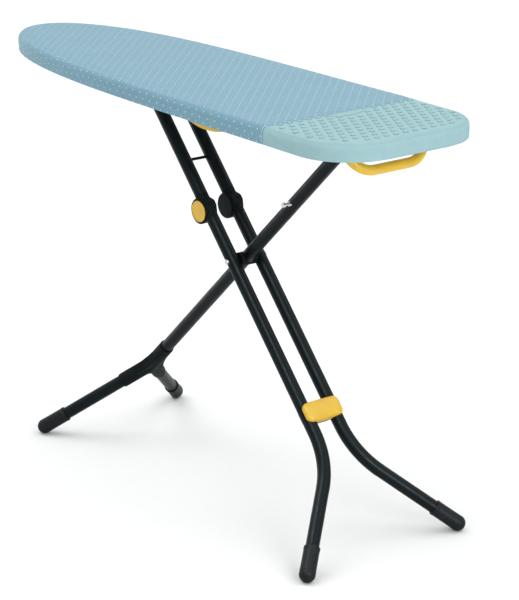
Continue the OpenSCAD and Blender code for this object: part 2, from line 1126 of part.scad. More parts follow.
top_cover();
iron_rest_cover();
pad();
mesh_top();
rim_frame();
cross_ribs();
guide_rail_left();
guide_rail_right();
pivot_bracket();
bracket_bolts();
front_axle();
front_axle_nut();
carry_handle();
handle_screws();
lever_bearings();
lever_spring();
height_lever();
lock_rod();
lock_plate();
front_tube();
front_pivot_sleeve();
leg_fork();
branch_tube_left();
branch_tube_right();
front_foot_left();
front_foot_right();
crossing_hub();
catch_stud();
upper_tube_left();
upper_tube_right();
lower_tube_left();
lower_tube_right();
tube_plugs();
knuckle_upper_left();
knuckle_upper_right();
knuckle_lower_left();
knuckle_lower_right();
knuckle_pin_left();
knuckle_pin_right();
lock_spring_left();
lock_spring_right();
spreader_rod();
clip_front();
clip_back();
clip_screws();
rear_foot_left();
rear_foot_right();
cross_axle();
cross_axle_ring();
top_axle();
axle_washers();
button_left();
button_right();
lock_gear_left();
lock_gear_right();
shoe_left();
shoe_right();
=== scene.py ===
"""Looks for the ironing board: cover, iron rest, mouldings, materials, camera and studio."""
import json
import math

import bmesh
import bpy
import numpy as np
from mathutils import Matrix, Vector
from mathutils.bvhtree import BVHTree


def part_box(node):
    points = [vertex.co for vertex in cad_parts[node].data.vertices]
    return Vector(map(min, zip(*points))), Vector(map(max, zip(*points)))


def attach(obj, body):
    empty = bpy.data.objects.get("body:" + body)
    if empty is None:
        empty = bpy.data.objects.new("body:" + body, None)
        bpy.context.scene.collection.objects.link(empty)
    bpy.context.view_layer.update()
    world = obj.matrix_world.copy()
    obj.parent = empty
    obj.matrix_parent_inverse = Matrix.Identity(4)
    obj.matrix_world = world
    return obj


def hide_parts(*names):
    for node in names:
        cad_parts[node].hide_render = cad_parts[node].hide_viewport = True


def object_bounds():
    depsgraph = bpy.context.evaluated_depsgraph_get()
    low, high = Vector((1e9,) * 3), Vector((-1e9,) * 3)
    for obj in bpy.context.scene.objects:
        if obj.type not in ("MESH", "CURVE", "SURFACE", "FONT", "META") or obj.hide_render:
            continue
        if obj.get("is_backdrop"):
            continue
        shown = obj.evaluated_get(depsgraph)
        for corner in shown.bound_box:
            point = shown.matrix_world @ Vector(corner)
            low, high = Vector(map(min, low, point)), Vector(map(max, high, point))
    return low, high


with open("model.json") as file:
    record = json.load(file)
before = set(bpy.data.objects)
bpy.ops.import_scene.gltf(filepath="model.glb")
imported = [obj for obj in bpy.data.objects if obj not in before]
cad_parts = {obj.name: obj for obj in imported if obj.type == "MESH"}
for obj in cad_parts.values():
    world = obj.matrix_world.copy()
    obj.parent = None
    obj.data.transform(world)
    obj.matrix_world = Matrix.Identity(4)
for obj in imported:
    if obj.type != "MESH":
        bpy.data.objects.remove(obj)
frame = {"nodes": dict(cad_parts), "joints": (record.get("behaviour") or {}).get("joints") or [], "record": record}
CAD_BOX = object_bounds()

# ---- Places, read from the frame ----

record = frame["record"]
slot_of = {part["node"]: part["material_slot"] for part in record["subparts"]}
body_of_node = {n: body for body, members in record["behaviour"]["bodies"].items() for n in members}


def joint_at(name):
    return Vector(next(j for j in frame["joints"] if j["name"] == name)["pos_m"])


def mount_at(name):
    return Vector(next(m for m in record["mounts"] if m["name"] == name)["pos_m"])


cover_low, cover_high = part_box("top_cover")
rest_low, rest_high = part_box("iron_rest_cover")
PAD_LOW_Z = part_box("pad")[0].z
DECK_HIGH_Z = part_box("mesh_top")[1].z
NOSE_X, HEEL_X, SEAM_X = cover_low.x, rest_high.x, rest_low.x
HALF_W = cover_high.y
TOP_Z, HEM_Z = cover_high.z, cover_low.z
EDGE_R = 0.012

ACROSS = Vector((0, 1, 0))


def axes_at(place, *axes):
    """A matrix with these X, Y and Z axes, at this place."""
    matrix = Matrix.Identity(4)
    for column, axis in enumerate(axes):
        matrix.col[column].xyz = axis
    matrix.col[3].xyz = place
    return matrix


def leg_frame(pivot, toward):
    """X down the leg, Y across, Z on the leg's outer side."""
    down = (toward - pivot).normalized()
    return axes_at(pivot, down, ACROSS, down.cross(ACROSS))


REAR = leg_frame(joint_at("shoe_tilt"), joint_at("leg_crossing"))
FRONT = leg_frame(joint_at("leg_fold"), joint_at("leg_crossing"))

# ---- The board's outline, as the CAD draws it ----

WIDE_X = 0.521
NOSE_POW = 4.75
TIP_POW = 2.02
HEEL_R = 0.116
OUTLINE_STEPS = 1500
NORMAL_REACH = 0.002  # along the outline, either side of where its normal is taken
LEAST_STEP = 0.0004  # between two rows of the cloth
FINE_ROWS = (0.0, 0.0006, 0.0015, 0.003, 0.006)  # from a seam to the rows beside it
TINY = 1e-6
SAME_POINT = 1e-7


def outline_half():
    """Points from the nose's tip along the +Y side to the end of the heel corner."""
    nose = [
        (
            WIDE_X - (WIDE_X - NOSE_X) * math.cos(t) ** (2 / NOSE_POW),
            HALF_W * math.sin(t) ** (2 / TIP_POW),
        )
        for t in np.linspace(0, math.pi / 2, OUTLINE_STEPS)
    ]
    corner = [
        (HEEL_X - HEEL_R + HEEL_R * math.sin(a), HALF_W - HEEL_R + HEEL_R * math.cos(a))
        for a in np.linspace(0, math.pi / 2, OUTLINE_STEPS // 10)
    ]
    points = np.array(nose + corner)
    apart = np.linalg.norm(np.diff(points, axis=0), axis=1)
    return points[np.r_[True, apart > SAME_POINT]]


OUTLINE = outline_half()
ARC = np.r_[0, np.cumsum(np.linalg.norm(np.diff(OUTLINE, axis=0), axis=1))]
ARC_END = float(ARC[-1])


def at_arc(s):
    """A point of the +Y outline at arc length s from the nose, and its outward normal."""
    here = np.array([np.interp(s, ARC, OUTLINE[:, k]) for k in range(2)])
    ahead, behind = (
        np.array([np.interp(np.clip(s + d, 0, ARC_END), ARC, OUTLINE[:, k]) for k in range(2)])
        for d in (NORMAL_REACH, -NORMAL_REACH)
    )
    along = ahead - behind
    if s < NORMAL_REACH:
        along = np.array([0.0, 1.0])
    if s > ARC_END - TINY:
        along = np.array([0.0, -1.0])
    along /= np.linalg.norm(along)
    return here, np.array([-along[1], along[0]])


EDGE_POINTS = np.array([at_arc(s)[0] for s in np.linspace(0, ARC_END, 900)])


def arc_at_x(x):
    return float(np.interp(x, OUTLINE[:, 0], ARC))


def stations(start, end, step, fine_at=()):
    """Arc lengths along the outline, closer together near the ones in fine_at."""
    count = max(2, round((end - start) / step))
    values = list(np.linspace(start, end, count + 1))
    for middle in fine_at:
        values += [middle + side * f for f in FINE_ROWS for side in (-1, 1)]
    values = sorted(v for v in set(np.round(values, 7)) if start - 1e-9 <= v <= end + 1e-9)
    kept = [values[0]]
    for v in values[1:]:
        if v - kept[-1] > LEAST_STEP:
            kept.append(v)
    return kept


# ---- Mesh helpers ----


def linked(name, data):
    """A new object, put into the scene."""
    obj = bpy.data.objects.new(name, data)
    bpy.context.scene.collection.objects.link(obj)
    return obj


def new_object(name, vertices, faces, smooth=True):
    mesh = bpy.data.meshes.new(name)
    mesh.from_pydata([tuple(v) for v in vertices], [], faces)
    mesh.validate()
    obj = linked(name, mesh)
    mesh.polygons.foreach_set("use_smooth", [smooth] * len(mesh.polygons))
    return obj


def finished(obj):
    """Replaces the object's mesh with what its modifiers make of it."""
    bpy.context.view_layer.update()
    evaluated = obj.evaluated_get(bpy.context.evaluated_depsgraph_get())
    mesh = bpy.data.meshes.new_from_object(evaluated)
    obj.modifiers.clear()
    old, obj.data = obj.data, mesh
    bpy.data.meshes.remove(old)
    return obj


def smooth_all(obj):
    obj.data.polygons.foreach_set("use_smooth", [True] * len(obj.data.polygons))
    obj.data.update()


def moulded(name, node, voxel, passes, swell):
    """A copy of a CAD node with its edges rounded and its joints blended, as a moulding's are."""
    obj = linked(name, frame["nodes"][node].data.copy())
    obj.data.materials.clear()
    remesh = obj.modifiers.new("remesh", "REMESH")
    remesh.mode = "VOXEL"
    remesh.voxel_size = voxel
    soften = obj.modifiers.new("soften", "SMOOTH")
    soften.factor = 0.5
    soften.iterations = passes
    if swell:
        fuller = obj.modifiers.new("fuller", "DISPLACE")
        fuller.mid_level = 0.0
        fuller.strength = swell
    finished(obj)
    smooth_all(obj)
    return obj


def outward(obj):
    """Turns the faces of closed surfaces outwards."""
    shape = bmesh.new()
    shape.from_mesh(obj.data)
    bmesh.ops.recalc_face_normals(shape, faces=shape.faces)
    shape.to_mesh(obj.data)
    shape.free()
    return obj


def lathe(name, matrix, profile, turns=56):
    """Spins (distance along X, radius) points about the matrix's X axis; radius 0 closes an end."""
    vertices, rings, faces = [], [], []
    for x, r in profile:
        if r < SAME_POINT:
            rings.append([len(vertices)])
            vertices.append(matrix @ Vector((x, 0, 0)))
            continue
        rings.append(list(range(len(vertices), len(vertices) + turns)))
        for k in range(turns):
            a = 2 * math.pi * k / turns
            vertices.append(matrix @ Vector((x, r * math.cos(a), r * math.sin(a))))
    for one, two in zip(rings, rings[1:]):
        for k in range(turns):
            a, b = one[k % len(one)], one[(k + 1) % len(one)]
            c, d = two[(k + 1) % len(two)], two[k % len(two)]
            face = list(dict.fromkeys((a, b, c, d)))
            if len(face) > 2:
                faces.append(face)
    return outward(new_object(name, vertices, faces))


def tube_along(name, points, radius, sides):
    """A round bar that follows points, with flat ends."""
    points = [Vector(p) for p in points]
    count = len(points)
    vertices, faces = [], []
    normal = None
    for i, p in enumerate(points):
        along = (points[min(i + 1, count - 1)] - points[max(i - 1, 0)]).normalized()
        if normal is None:
            normal = along.orthogonal().normalized()
        normal = (normal - along * normal.dot(along)).normalized()
        side = along.cross(normal)
        for k in range(sides):
            a = 2 * math.pi * k / sides
            vertices.append(p + radius * (math.cos(a) * normal + math.sin(a) * side))
    last = (count - 1) * sides
    for first in range(0, last, sides):
        for k in range(sides):
            m = (k + 1) % sides
            faces.append((first + k, first + m, first + sides + m, first + sides + k))
    faces.append(tuple(reversed(range(sides))))
    faces.append(tuple(range(last, last + sides)))
    return outward(new_object(name, vertices, faces))


def joined(name, objects):
    """One object made of several, with their places kept."""
    merged = bmesh.new()
    for obj in objects:
        merged.from_mesh(obj.data)
        bpy.data.objects.remove(obj)
    mesh = bpy.data.meshes.new(name)
    merged.to_mesh(mesh)
    merged.free()
    return linked(name, mesh)


# ---- Material helpers ----


def srgb(r, g, b):
    """A linear colour from 0-255 screen values."""
    def linear(value):
        value /= 255
        return value / 12.92 if value <= 0.04045 else ((value + 0.055) / 1.055) ** 2.4

    return (linear(r), linear(g), linear(b), 1.0)


RANGE_INPUTS = ("From Min", "From Max", "To Min", "To Max")


class Nodes:
    """A small builder for one material's node tree."""

    def __init__(self, name):
        self.material = bpy.data.materials.new(name)
        self.material.use_nodes = True
        self.tree = self.material.node_tree
        self.shader = self.tree.nodes["Principled BSDF"]

    def add(self, kind, **settings):
        node = self.tree.nodes.new("ShaderNode" + kind)
        for key, value in settings.items():
            setattr(node, key, value)
        return node

    def link(self, output, socket):
        self.tree.links.new(output, socket)

    def feed(self, socket, value):
        if isinstance(value, bpy.types.NodeSocket):
            self.link(value, socket)
        else:
            socket.default_value = value

    def math(self, operation, a, b=0.0, clamp=False):
        node = self.add("Math", operation=operation, use_clamp=clamp)
        self.feed(node.inputs[0], a)
        self.feed(node.inputs[1], b)
        return node.outputs[0]

    def vector(self, operation, a, b=(0, 0, 0)):
        node = self.add("VectorMath", operation=operation)
        self.feed(node.inputs[0], a)
        self.feed(node.inputs[1], b)
        return node.outputs["Value" if operation in ("LENGTH", "DOT_PRODUCT") else "Vector"]

    def place(self):
        """The point in the row frame at rest, the same for every piece."""
        return self.add("TexCoord").outputs["Object"]

    def noise(self, scale, detail, roughness=0.5):
        node = self.add("TexNoise")
        node.inputs["Scale"].default_value = scale
        node.inputs["Detail"].default_value = detail
        node.inputs["Roughness"].default_value = roughness
        self.link(self.place(), node.inputs["Vector"])
        return node.outputs["Fac"]

    def spread(self, value, low, high, to_low, to_high):
        node = self.add("MapRange", interpolation_type="SMOOTHSTEP")
        self.feed(node.inputs["Value"], value)
        for key, number in zip(RANGE_INPUTS, (low, high, to_low, to_high)):
            node.inputs[key].default_value = number
        return node.outputs["Result"]

    def mix(self, factor, a, b):
        node = self.add("Mix", data_type="RGBA")
        self.feed(node.inputs["Factor"], factor)
        self.feed(node.inputs["A"], a)
        self.feed(node.inputs["B"], b)
        return node.outputs["Result"]

    def bump(self, height, distance, strength, after=None):
        node = self.add("Bump")
        node.inputs["Strength"].default_value = strength
        node.inputs["Distance"].default_value = distance
        self.link(height, node.inputs["Height"])
        if after is not None:
            self.link(after, node.inputs["Normal"])
        return node.outputs["Normal"]

    def finish(self, colour, roughness, normal=None, **uniform):
        self.feed(self.shader.inputs["Base Color"], colour)
        self.feed(self.shader.inputs["Roughness"], roughness)
        if normal is not None:
            self.link(normal, self.shader.inputs["Normal"])
        for key, value in uniform.items():
            self.shader.inputs[key.replace("_", " ")].default_value = value
        return self.material


# ---- Materials ----

DOT_PITCH = 0.024
DOT_R = 0.00135
THREAD = 0.0011


def cover_fabric():
    """Fine plain weave with a staggered lattice of small printed dots."""
    n = Nodes("cover_fabric")
    flat = n.add("UVMap", uv_map="flat").outputs["UV"]
    lattice = n.vector("SCALE", flat)
    lattice.node.inputs["Scale"].default_value = 1 / DOT_PITCH
    distances = []
    for shift in (0.0, 0.5):
        moved = n.vector("ADD", lattice, (shift, shift, 0))
        cell = n.vector("SUBTRACT", n.vector("FRACTION", moved), (0.5, 0.5, 0))
        distances.append(n.vector("LENGTH", cell))
    nearest = n.math("MINIMUM", distances[0], distances[1])
    ragged = n.math("MULTIPLY", n.math("SUBTRACT", n.noise(1400, 1.0), 0.5), 0.012)
    edge = DOT_R / DOT_PITCH
    dot = n.spread(n.math("ADD", nearest, ragged), edge - 0.006, edge + 0.006, 1.0, 0.0)

    split = n.add("SeparateXYZ")
    n.link(flat, split.inputs[0])
    turn = 2 * math.pi / (2 * THREAD)
    warp = n.math("SINE", n.math("MULTIPLY", split.outputs["X"], turn))
    weft = n.math("SINE", n.math("MULTIPLY", split.outputs["Y"], turn))
    weave = n.math("MULTIPLY", warp, weft)
    warp_over = n.spread(weave, -0.6, 0.6, 0.0, 1.0)
    slub = n.noise(420, 2.0)
    shade = n.math("MULTIPLY_ADD", warp_over, 0.5)
    n.feed(shade.node.inputs[2], n.math("MULTIPLY", n.spread(slub, 0.32, 0.68, 0.0, 1.0), 0.5))
    cloth = n.mix(shade, srgb(82, 124, 142), srgb(124, 163, 179))
    blotch = n.spread(n.noise(14, 4.0, 0.6), 0.3, 0.7, 0.0, 1.0)
    cloth = n.mix(n.math("MULTIPLY", blotch, 0.25), cloth, srgb(97, 142, 159))
    colour = n.mix(n.math("MULTIPLY", dot, 0.9), cloth, srgb(198, 213, 219))
    crests = n.math("MULTIPLY", n.math("ABSOLUTE", weave), 0.6)
    height = n.math("ADD", crests, n.math("MULTIPLY", slub, 0.7))
    normal = n.bump(height, 0.00012, 0.7)
    normal = n.bump(dot, 0.00018, 0.6, normal)
    roughness = n.spread(slub, 0.2, 0.8, 0.74, 0.9)
    return n.finish(
        colour, roughness, normal, Sheen_Weight=0.22, Sheen_Roughness=0.4, Specular_IOR_Level=0.3
    )


def coated_cloth():
    """The iron rest's matt heat-resistant coating, mottled, with painted shade where the groove attribute says so.
    """
    n = Nodes("iron_rest")
    mottle = n.spread(n.noise(60, 5.0, 0.6), 0.3, 0.7, 0.0, 1.0)
    grain = n.noise(2600, 2.0)
    colour = n.mix(mottle, srgb(133, 167, 172), srgb(138, 171, 175))
    colour = n.mix(n.math("MULTIPLY", n.noise(7, 2.0), 0.3), colour, srgb(146, 178, 181))
    groove = n.add("Attribute", attribute_name="groove").outputs["Fac"]
    # painted shade: the groove attribute darkens the coating round the studs' feet, along the strip border and in
    # a band below the top edge
    colour = n.mix(n.math("MULTIPLY", groove, 0.5), colour, srgb(84, 112, 118))
    normal = n.bump(grain, 0.00006, 0.5)
    normal = n.bump(n.noise(45, 3.0), 0.0002, 0.06, normal)
    return n.finish(colour, n.spread(grain, 0.2, 0.8, 0.7, 0.84), normal, Specular_IOR_Level=0.3)


def felt():
    n = Nodes("felt_pad")
    fibres = n.noise(900, 6.0, 0.7)
    clumps = n.spread(n.noise(90, 4.0), 0.35, 0.65, 0.0, 1.0)
    colour = n.mix(clumps, srgb(205, 207, 203), srgb(223, 224, 220))
    fleck = n.spread(n.noise(500, 1.0), 0.66, 0.72, 0.0, 0.6)
    colour = n.mix(fleck, colour, srgb(150, 158, 162))
    return n.finish(colour, 0.95, n.bump(fibres, 0.0006, 0.8), Sheen_Weight=0.3)


COLD = (0.8, 0.93, 1.0, 1.0)
WHITE = (1.0, 1.0, 1.0, 1.0)


def powder_coat(name, dark, light, roughness, specular=0.22, tint=WHITE):
    """Sprayed paint: a faint orange peel, cloudy gloss and a little dust."""
    n = Nodes(name)
    cloud = n.spread(n.noise(22, 4.0, 0.6), 0.3, 0.7, 0.0, 1.0)
    speck = n.spread(n.noise(1500, 2.0), 0.62, 0.72, 0.0, 0.35)
    colour = n.mix(speck, n.mix(cloud, dark, light), light)
    gloss = n.spread(n.noise(70, 4.0, 0.65), 0.3, 0.7, roughness - 0.05, roughness + 0.07)
    normal = n.bump(n.noise(750, 2.0), 0.00006, 0.5)
    return n.finish(colour, gloss, normal, Specular_IOR_Level=specular, Specular_Tint=tint)


def zinc_steel():
    n = Nodes("zinc_steel")
    spangle = n.add("TexVoronoi")
    spangle.inputs["Scale"].default_value = 420
    n.link(n.place(), spangle.inputs["Vector"])
    patch = n.math("MULTIPLY", spangle.outputs["Distance"], 1.2, clamp=True)
    colour = n.mix(patch, srgb(150, 153, 154), srgb(184, 186, 186))
    colour = n.mix(n.spread(n.noise(30, 3.0), 0.55, 0.75, 0.0, 0.4), colour, srgb(196, 190, 170))
    normal = n.bump(n.noise(1100, 3.0), 0.00008, 0.5)
    return n.finish(colour, n.spread(patch, 0.0, 1.0, 0.26, 0.44), normal, Metallic=1.0)


def chrome():
    n = Nodes("chrome")
    haze = n.spread(n.noise(160, 4.0, 0.6), 0.4, 0.75, 0.07, 0.2)
    colour = n.mix(n.noise(35, 2.0), srgb(186, 190, 194), srgb(204, 206, 209))
    return n.finish(colour, haze, n.bump(n.noise(500, 2.0), 0.00004, 0.4), Metallic=1.0)


def moulded_plastic(
    name, dark, light, roughness, grain_scale, grain_depth,
    subsurface=0.0, specular=0.5, tint=WHITE,
):
    """Injection moulding: fine spark texture, slow flow shading and lightly rubbed gloss."""
    n = Nodes(name)
    flow = n.spread(n.noise(16, 3.0, 0.5), 0.3, 0.7, 0.0, 1.0)
    colour = n.mix(flow, dark, light)
    grain = n.noise(grain_scale, 3.0, 0.6)
    rubbed = n.spread(n.noise(55, 5.0, 0.65), 0.35, 0.75, roughness + 0.05, roughness - 0.07)
    normal = n.bump(grain, grain_depth, 0.5)
    return n.finish(
        colour, rubbed, normal, Subsurface_Weight=subsurface, Subsurface_Scale=0.004,
        Specular_IOR_Level=specular, Specular_Tint=tint,
    )


def foot_rubber():
    n = Nodes("foot_rubber")
    dust = n.spread(n.noise(120, 6.0, 0.7), 0.45, 0.8, 0.0, 0.5)
    colour = n.mix(dust, srgb(9, 17, 20), srgb(28, 37, 40))
    split = n.add("SeparateXYZ")
    n.link(n.place(), split.inputs[0])
    scuffed = n.spread(split.outputs["Z"], 0.0, 0.006, 0.6, 0.0)
    colour = n.mix(scuffed, colour, srgb(52, 54, 54))
    roughness = n.spread(dust, 0.0, 0.5, 0.5, 0.66)
    normal = n.bump(n.noise(1300, 4.0), 0.00014, 0.6)
    return n.finish(colour, roughness, normal, Specular_IOR_Level=0.17)


MATERIALS = {
    "cover_fabric": cover_fabric(),
    "iron_rest": coated_cloth(),
    "felt_pad": felt(),
    "frame_steel": powder_coat("frame_steel", srgb(178, 182, 186), srgb(192, 196, 199), 0.42),
    "zinc_steel": zinc_steel(),
    "chrome": chrome(),
    "yellow_plastic": moulded_plastic(
        "yellow_plastic", srgb(205, 164, 32), srgb(211, 172, 40), 0.38, 1500, 0.00006, 0.1
    ),
    "black_paint": powder_coat(
        "black_paint", srgb(2, 7, 9), srgb(5, 12, 14), 0.4, specular=0.15, tint=COLD
    ),
    "black_plastic": moulded_plastic(
        "black_plastic", srgb(3, 8, 10), srgb(6, 12, 14), 0.62, 1700, 0.00006,
        specular=0.12, tint=COLD,
    ),
    "foot_rubber": foot_rubber(),
    "shoe_nylon": moulded_plastic(
        "shoe_nylon", srgb(226, 227, 222), srgb(238, 238, 233), 0.38, 900, 0.00005, 0.25
    ),
}
for node, obj in frame["nodes"].items():
    obj.data.materials.clear()
    obj.data.materials.append(MATERIALS[slot_of[node]])


def dress(obj, slot, body, *nodes):
    """Gives a new piece its material, its body and the CAD nodes that it stands for."""
    obj.data.materials.clear()
    obj.data.materials.append(MATERIALS[slot])
    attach(obj, body)
    if nodes:
        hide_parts(*nodes)
    return obj


# ---- Camera ----

EYE = Vector((3.5572528, -2.6216681, 1.8647954))
AZIMUTH = 0.9119089
ELEVATION = 0.3242712
LENS = 132.05
SENSOR = 36.0


def make_camera():
    camera = linked("camera", bpy.data.cameras.new("camera"))
    back = Vector((
        math.sin(AZIMUTH) * math.cos(ELEVATION),
        -math.cos(AZIMUTH) * math.cos(ELEVATION),
        math.sin(ELEVATION),
    ))
    camera.location = EYE
    camera.rotation_mode = "QUATERNION"
    camera.rotation_quaternion = (-back).to_track_quat("-Z", "Y")
    camera.data.lens = LENS
    camera.data.sensor_width = SENSOR
    bpy.context.scene.camera = camera


make_camera()

# ---- Cover and iron rest ----

CLOTH_T = 0.0012
ROWS_STEP = 0.0085
COLUMNS = 46
EDGE_STEPS = 7
SKIRT_STEPS = 6
SIDE_STEPS = EDGE_STEPS + SKIRT_STEPS
TURN_IN = 0.020
HEM_R = 0.0016
HEM_STEPS = 4
TURN_STEPS = 5
TURN_RISE = 0.0003  # each step of the turned-in cloth rises by this much
SKIRT_LEAN = 0.0007  # how far the skirt leans in at its foot
CROWN = 0.0006
UNEVEN = 0.00025
SEAM_DIP, SEAM_SPREAD = 0.0005, 0.0022
FOLD_DEPTH, FOLD_LIFT, FAINT_FOLD = 0.0011, 0.0008, 0.0002
FOLD_WAVES = ((170, 0.0, 0.6), (287, 1.1, 0.4))  # rate along the edge, shift, share
FOLD_SHIFT = 0.004  # along the edge, from a fold's depth to its lift
FAINT_FROM = 0.034  # depth below the top where the faint folds are full
NOSE_FOLDS, HEEL_FOLDS = 0.33, 0.12  # how far the folds reach round each end


def seam_dip(x):
    return SEAM_DIP * math.exp(-(((x - SEAM_X) / SEAM_SPREAD) ** 2))


def top_height(x, y):
    """The pad's slight fullness, flat enough to iron on, with a dip along the seam."""
    lift = CROWN * (1 - (y / HALF_W) ** 2)
    soft = UNEVEN * math.sin(31 * x + 1.3) * math.sin(37 * y + 0.4)
    return TOP_Z - CROWN + lift + soft - seam_dip(x)


def edge_profile():
    """Pairs (inward, down) from the flat top over the rounded edge, down the skirt and under."""
    profile = []
    for k in range(1, EDGE_STEPS + 1):
        a = math.pi / 2 * k / EDGE_STEPS
        profile.append((EDGE_R * (1 - math.sin(a)), EDGE_R * (1 - math.cos(a))))
    drop = TOP_Z - HEM_Z - EDGE_R - HEM_R
    for k in range(1, SKIRT_STEPS + 1):
        t = k / SKIRT_STEPS
        profile.append((SKIRT_LEAN * t * t, EDGE_R + drop * t))
    foot = EDGE_R + drop
    for k in range(1, HEM_STEPS + 1):
        a = math.pi / 2 * k / HEM_STEPS
        profile.append((SKIRT_LEAN + HEM_R * (1 - math.cos(a)), foot + HEM_R * math.sin(a)))
    for k in range(1, TURN_STEPS + 1):
        reach = TURN_IN * k / TURN_STEPS
        profile.append((SKIRT_LEAN + HEM_R + reach, foot + HEM_R - TURN_RISE * k))
    return profile


PROFILE = edge_profile()


def gather(s, depth):
    """Small folds where the drawstring pulls the cloth in round the curves, at depth 0 to 1."""
    at_nose = math.exp(-((s / NOSE_FOLDS) ** 2))
    curve = at_nose + 0.5 * math.exp(-(((s - ARC_END) / HEEL_FOLDS) ** 2))
    wave = sum(math.sin(rate * s + shift) * share for rate, shift, share in FOLD_WAVES)
    return curve * wave * depth


def rim_point(s, side, inward, down, under):
    """A point of the cover's edge: s is the arc length, under runs from 0 at the hem to 1."""
    here, normal = at_arc(s)
    faint = FAINT_FOLD * gather(s, 1.0) * min(down / FAINT_FROM, 1.0)
    inward += FOLD_DEPTH * gather(s, under) + faint
    p = here - normal * inward
    z = TOP_Z - down + FOLD_LIFT * gather(s + FOLD_SHIFT, under)
    p = p - normal * seam_dip(here[0])
    return Vector((p[0], side * p[1], z))


def cloth_part(name, start, end):
    """The sheet between two arc lengths of the outline: top rows, edge, skirt and turned hem."""
    values = stations(start, end, ROWS_STEP, fine_at=(SEAM_ARC,))
    vertices, flat, faces = [], [], []

    def put(point, uv):
        vertices.append(point)
        flat.append(uv)
        return len(vertices) - 1

    grid = []
    for s in values:
        here, normal = at_arc(s)
        x, y = here - normal * EDGE_R
        if abs(y) < 1e-4:
            grid.append([put(Vector((x, 0, top_height(x, 0))), (x, 0.0))] * (COLUMNS + 1))
            continue
        row = []
        for k in range(COLUMNS + 1):
            t = -1 + 2 * k / COLUMNS
            row.append(put(Vector((x, t * y, top_height(x, t * y))), (x, t * y)))
        grid.append(row)
    for one, two in zip(grid, grid[1:]):
        for k in range(COLUMNS):
            face = list(dict.fromkeys((one[k], two[k], two[k + 1], one[k + 1])))
            if len(face) > 2:
                faces.append(tuple(face))

    # The boundary loop: down one side, along the heel if the part has it, and back.
    loop = [(s, 1, None, grid[i][-1]) for i, s in enumerate(values)]
    if end > ARC_END - TINY:
        corner_y = at_arc(end)[0][1]
        for k in range(COLUMNS - 1, 0, -1):
            loop.append((end, 1, corner_y * (-1 + 2 * k / COLUMNS), grid[-1][k]))
    if start > TINY:
        back = [(s, -1, None, grid[i][0]) for i, s in reversed(list(enumerate(values)))]
        loops = [loop, back] if end < ARC_END - TINY else [loop + back]
    else:
        back = [(s, -1, None, grid[i][0]) for i, s in list(enumerate(values))[1:]]
        loops = [list(reversed(back)) + loop]
    for one_loop in loops:
        previous = [index for _, _, _, index in one_loop]
        fabric = 0.0
        last = (EDGE_R, 0.0)
        for step, (inward, down) in enumerate(PROFILE):
            fabric += math.dist(last, (inward, down))
            last = (inward, down)
            under = max(0.0, (step - SIDE_STEPS + 1) / (len(PROFILE) - SIDE_STEPS))
            ring = []
            for s, side, heel_y, _ in one_loop:
                here, normal = at_arc(s)
                edge = here - normal * EDGE_R + normal * fabric
                if heel_y is None:
                    point = rim_point(s, side, inward, down, under)
                    uv = (edge[0], side * edge[1])
                else:
                    point = rim_point(s, 1, inward, down, under)
                    point.y = heel_y
                    uv = (edge[0], heel_y)
                ring.append(put(point, uv))
            for k in range(len(ring) - 1):
                faces.append((previous[k], ring[k], ring[k + 1], previous[k + 1]))
            previous = ring

    obj = new_object(name, vertices, faces)
    layer = obj.data.uv_layers.new(name="flat")
    loop_vertices = np.zeros(len(obj.data.loops), np.int32)
    obj.data.loops.foreach_get("vertex_index", loop_vertices)
    layer.data.foreach_set("uv", np.array(flat, np.float32)[loop_vertices].ravel())
    face_up(obj)
    return obj


def face_up(obj):
    """Turns every face outwards, judged by the flat top."""
    shape = bmesh.new()
    shape.from_mesh(obj.data)
    bmesh.ops.recalc_face_normals(shape, faces=shape.faces)
    top = max(shape.faces, key=lambda f: (round(abs(f.normal.z), 2), f.calc_center_median().z))
    if top.normal.z < 0:
        bmesh.ops.reverse_faces(shape, faces=shape.faces)
    shape.to_mesh(obj.data)
    shape.free()


def thickened(obj, thickness):
    solid = obj.modifiers.new("cloth", "SOLIDIFY")
    solid.thickness = thickness
    solid.offset = -1.0
    finished(obj)
    smooth_all(obj)
    return obj


CLOTH_FRAMES = 14
CLOTH_PRESSURE = 2.5
MOST_SWELL = 0.0011
HELD_AT_SEAM = 0.004


def settled(obj):
    """Lets the stretched cloth swell and relax over the pad, held at its hem and at the seam."""
    before = np.array([tuple(v.co) for v in obj.data.vertices])
    under = before[:, 2] < HEM_Z + HEM_R / 2
    at_seam = np.abs(before[:, 0] - SEAM_X) < HELD_AT_SEAM
    held = obj.vertex_groups.new(name="held")
    held.add([int(i) for i in np.nonzero(under | at_seam)[0]], 1.0, "REPLACE")
    modifier = obj.modifiers.new("settle", "CLOTH")
    settings = modifier.settings
    settings.quality = 6
    settings.mass = 0.2
    settings.tension_stiffness = 30
    settings.compression_stiffness = 30
    settings.bending_stiffness = 0.6
    settings.vertex_group_mass = "held"
    settings.use_pressure = True
    settings.uniform_pressure_force = CLOTH_PRESSURE
    settings.effector_weights.gravity = 0.0
    modifier.point_cache.frame_start = 1
    modifier.point_cache.frame_end = CLOTH_FRAMES
    for step in range(1, CLOTH_FRAMES + 1):
        bpy.context.scene.frame_set(step)
    finished(obj)
    after = np.array([tuple(v.co) for v in obj.data.vertices])
    moved = after - before
    far = np.linalg.norm(moved, axis=1)
    moved *= (MOST_SWELL * np.tanh(far / MOST_SWELL) / np.maximum(far, 1e-9))[:, None]
    obj.data.vertices.foreach_set("co", (before + moved).ravel())
    obj.vertex_groups.clear()
    bpy.context.scene.frame_set(1)
    return obj


HEM_CORD_R = 0.0021
HEM_CORD_STEP, HEM_CORD_RISE = 0.005, 0.0006
HEM_CORD_GAP = 0.001  # from the seam to the end of each channel


